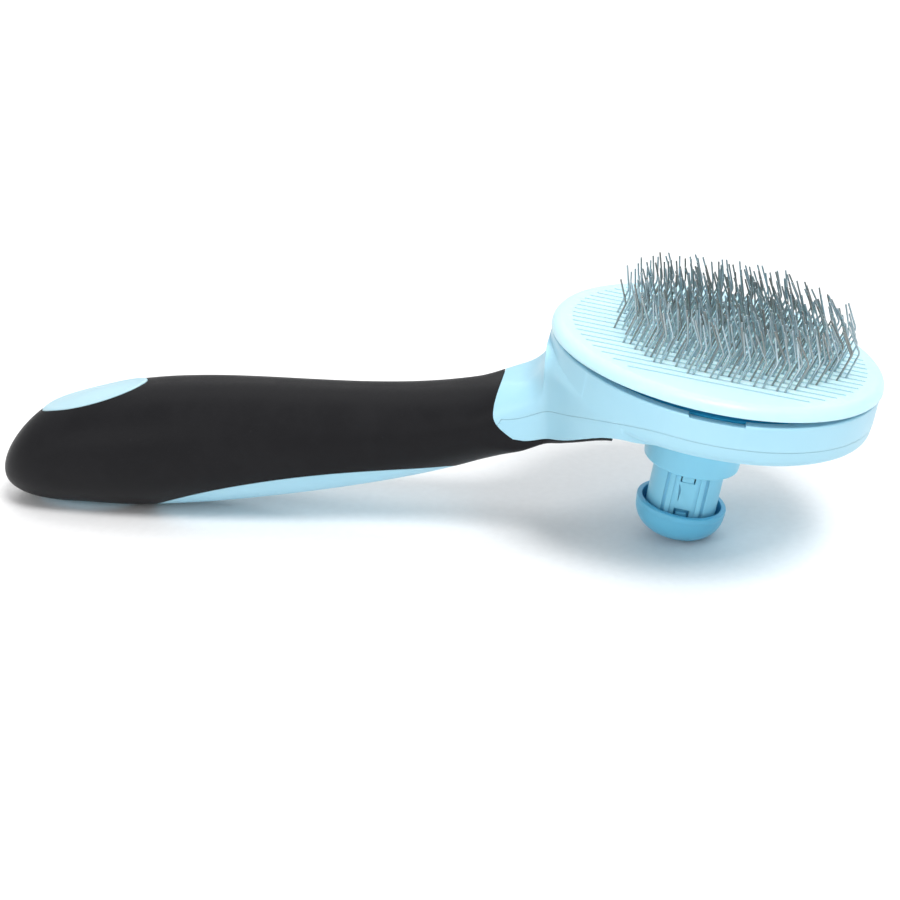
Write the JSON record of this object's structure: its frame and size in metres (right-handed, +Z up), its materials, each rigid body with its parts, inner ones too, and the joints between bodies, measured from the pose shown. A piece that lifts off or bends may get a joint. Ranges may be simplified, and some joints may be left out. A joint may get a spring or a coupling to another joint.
{
  "type": "self-cleaning slicker brush",
  "caption": "Pet grooming slicker brush with a round pinned head, a rubber-covered handle and a push button that lifts a slotted plate over the pins to strip the hair.",
  "frame": {"origin": "centre of the footprint on the floor, below the middle of the brush as it lies on the end of its handle and on its button", "axes": "+X from the handle to the head, +Z up (pins up), +Y to the left when looking along +X; the brush is mirror-symmetric about Y = 0"},
  "size_m": [0.2212, 0.0798, 0.0677],
  "materials": {
    "pale_plastic": "satin moulded ABS, light sky blue",
    "plate_plastic": "satin moulded ABS, very pale blue",
    "button_plastic": "satin moulded ABS, slightly deeper blue",
    "grip_rubber": "soft-touch black rubber, fine grain",
    "pad_rubber": "deep blue rubber pad",
    "inner_plastic": "unpainted moulding, hidden",
    "pin_steel": "drawn stainless wire",
    "spring_steel": "bright spring wire",
    "screw_steel": "plated self-tapping screws"
  },
  "bodies": {
    "housing": {"front_shell": "pale_plastic", "rear_shell": "pale_plastic", "guide_collar": "pale_plastic", "rubber_grip": "grip_rubber", "end_inlay": "pale_plastic", "pin_pad": "pad_rubber", "pin_backing_plate": "inner_plastic", "pins_column_01": "pin_steel", "pins_column_02": "pin_steel", "pins_column_03": "pin_steel", "pins_column_04": "pin_steel", "pins_column_05": "pin_steel", "pins_column_06": "pin_steel", "pins_column_07": "pin_steel", "pins_column_08": "pin_steel", "pins_column_09": "pin_steel", "pins_column_10": "pin_steel", "pins_column_11": "pin_steel", "pins_column_12": "pin_steel", "return_spring": "spring_steel", "pad_screws": "screw_steel", "shell_screws": "screw_steel"},
    "plunger": {"cleaning_plate": "plate_plastic", "plunger_stem": "pale_plastic", "button_cap": "button_plastic"}
  },
  "joints": [
    {"name": "button_press", "type": "slide", "parent": "housing", "child": "plunger", "axis": [0.1594, 0, 0.9872], "range_m": [0, 0.0105], "stiffness_N_per_m": 450, "springref_m": -0.009, "deforming": ["return_spring"]}
  ]
}
